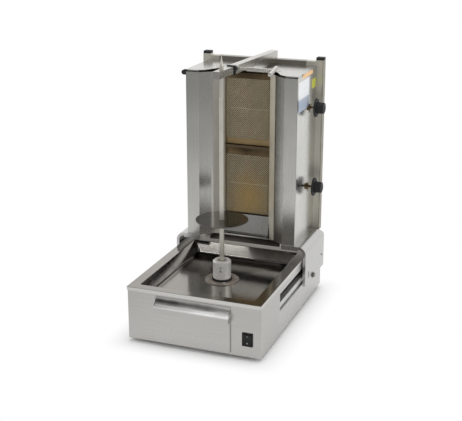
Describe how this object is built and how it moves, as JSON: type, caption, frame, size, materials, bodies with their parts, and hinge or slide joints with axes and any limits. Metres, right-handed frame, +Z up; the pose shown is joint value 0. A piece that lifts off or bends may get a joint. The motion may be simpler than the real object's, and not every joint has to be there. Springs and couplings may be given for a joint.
{
  "type": "gas doner kebab grill",
  "caption": "Upright gas grill for a turning meat spit: sliding burner tower, driven spit with disc, polished drip tray base with fat drawer, top arm and gas knobs.",
  "frame": {"origin": "on the worktop under the middle of the base", "axes": "+X to the right, +Y from front to back, +Z up"},
  "size_m": [0.4748, 0.6618, 0.863],
  "materials": {
    "satin_steel": "satin brushed stainless steel",
    "polished_steel": "mirror-polished stainless steel",
    "turned_steel": "turned and drawn stainless steel",
    "zinc_steel": "zinc-plated steel",
    "heated_steel": "stainless steel with brown and straw heat tint",
    "ceramic": "fired burner plaque, tan",
    "gas_brass": "machined brass",
    "pipe_steel": "grey coated steel pipe",
    "grey_paint": "grey machine paint",
    "black_plastic": "matt black moulded plastic",
    "switch_plastic": "glossy black moulded plastic",
    "white_plastic": "off-white moulded plastic",
    "black_rubber": "matt black rubber"
  },
  "bodies": {
    "base": {"base_shell": "satin_steel", "side_panel_left": "satin_steel", "side_panel_right": "satin_steel", "back_panel": "satin_steel", "floor_plate": "satin_steel", "feet": "black_rubber", "drip_tray": "polished_steel", "bearing_flange": "turned_steel", "flange_screws": "zinc_steel", "gearbox": "grey_paint", "gear_motor": "grey_paint", "slide_rails": "zinc_steel", "drawer_runners": "zinc_steel", "switch_housing": "switch_plastic", "terminal_block": "white_plastic", "cable_gland": "black_plastic"},
    "drawer": {"drawer_front": "satin_steel", "drawer_pan": "satin_steel"},
    "switch": {"rocker": "switch_plastic"},
    "spit_drive": {"drive_shaft": "turned_steel", "drive_socket": "turned_steel", "socket_screws": "zinc_steel", "seal_ring": "black_rubber"},
    "spit": {"spit_rod": "turned_steel", "meat_disc": "polished_steel", "disc_pin": "turned_steel"},
    "tower": {"bracket_left": "satin_steel", "bracket_right": "satin_steel", "slide_blocks": "black_plastic", "bracket_bolts": "zinc_steel", "cabinet_side_left": "satin_steel", "cabinet_side_right": "satin_steel", "reflector_left": "polished_steel", "reflector_right": "polished_steel", "cabinet_back": "satin_steel", "cabinet_top": "satin_steel", "cabinet_floor": "satin_steel", "lower_panel": "satin_steel", "shield_plate": "polished_steel", "burner_box_upper": "heated_steel", "burner_box_lower": "heated_steel", "burner_divider": "polished_steel", "burner_meshes": "heated_steel", "ceramic_plaques": "ceramic", "gas_valves": "gas_brass", "gas_pipes": "pipe_steel", "frame_upright_left": "satin_steel", "frame_upright_right": "satin_steel", "frame_crossbar": "satin_steel", "frame_caps": "black_plastic", "arm_pin": "turned_steel", "side_cap": "black_plastic"},
    "upper_valve": {"valve_stem_upper": "gas_brass"},
    "upper_knob": {"knob_upper": "black_plastic"},
    "lower_valve": {"valve_stem_lower": "gas_brass"},
    "lower_knob": {"knob_lower": "black_plastic"},
    "arm": {"arm_tube": "turned_steel", "collar_insert": "black_plastic"},
    "bar": {"centre_bar": "turned_steel"},
    "clamp": {"clamp_screw": "turned_steel"}
  },
  "joints": [
    {"name": "drawer_slide", "type": "slide", "parent": "base", "child": "drawer", "axis": [0, -1, 0], "range_m": [0, 0.14]},
    {"name": "switch_rock", "type": "hinge", "parent": "base", "child": "switch", "pos_m": [0.1745, -0.317, 0.0683], "axis": [1, 0, 0], "range_deg": [-9, 9]},
    {"name": "spit_turn", "type": "hinge", "parent": "base", "child": "spit_drive", "pos_m": [0, -0.0745, 0.2], "axis": [0, 0, 1], "continuous": true},
    {"name": "spit_lift", "type": "slide", "parent": "spit_drive", "child": "spit", "axis": [0, 0, 1], "range_m": [0, 0.05]},
    {"name": "tower_slide", "type": "slide", "parent": "base", "child": "tower", "axis": [0, 1, 0], "range_m": [-0.055, 0]},
    {"name": "upper_gas_turn", "type": "hinge", "parent": "tower", "child": "upper_valve", "pos_m": [0.2, 0.22, 0.657], "axis": [1, 0, 0], "range_deg": [0, 180]},
    {"name": "upper_gas_push", "type": "slide", "parent": "upper_valve", "child": "upper_knob", "axis": [-1, 0, 0], "range_m": [0, 0.003], "stiffness_N_per_m": 500},
    {"name": "lower_gas_turn", "type": "hinge", "parent": "tower", "child": "lower_valve", "pos_m": [0.2, 0.217, 0.392], "axis": [1, 0, 0], "range_deg": [0, 180]},
    {"name": "lower_gas_push", "type": "slide", "parent": "lower_valve", "child": "lower_knob", "axis": [-1, 0, 0], "range_m": [0, 0.003], "stiffness_N_per_m": 500},
    {"name": "arm_swivel", "type": "hinge", "parent": "tower", "child": "arm", "pos_m": [0.032, 0.311, 0.8048], "axis": [0, 0, 1], "range_deg": [-1, 0]},
    {"name": "bar_slide", "type": "slide", "parent": "arm", "child": "bar", "axis": [0.0827, 0.9966, 0], "range_m": [0, 0.0555]},
    {"name": "clamp_turn", "type": "hinge", "parent": "arm", "child": "clamp", "pos_m": [0.00686, 0.00812, 0.808], "axis": [0.9966, -0.0827, 0], "range_deg": [0, 180]}
  ],
  "couplings": [
    {"joint": "arm_swivel", "follows": "tower_slide", "rad_per_m": 0.24914},
    {"joint": "bar_slide", "follows": "tower_slide", "ratio": -0.99601}
  ]
}
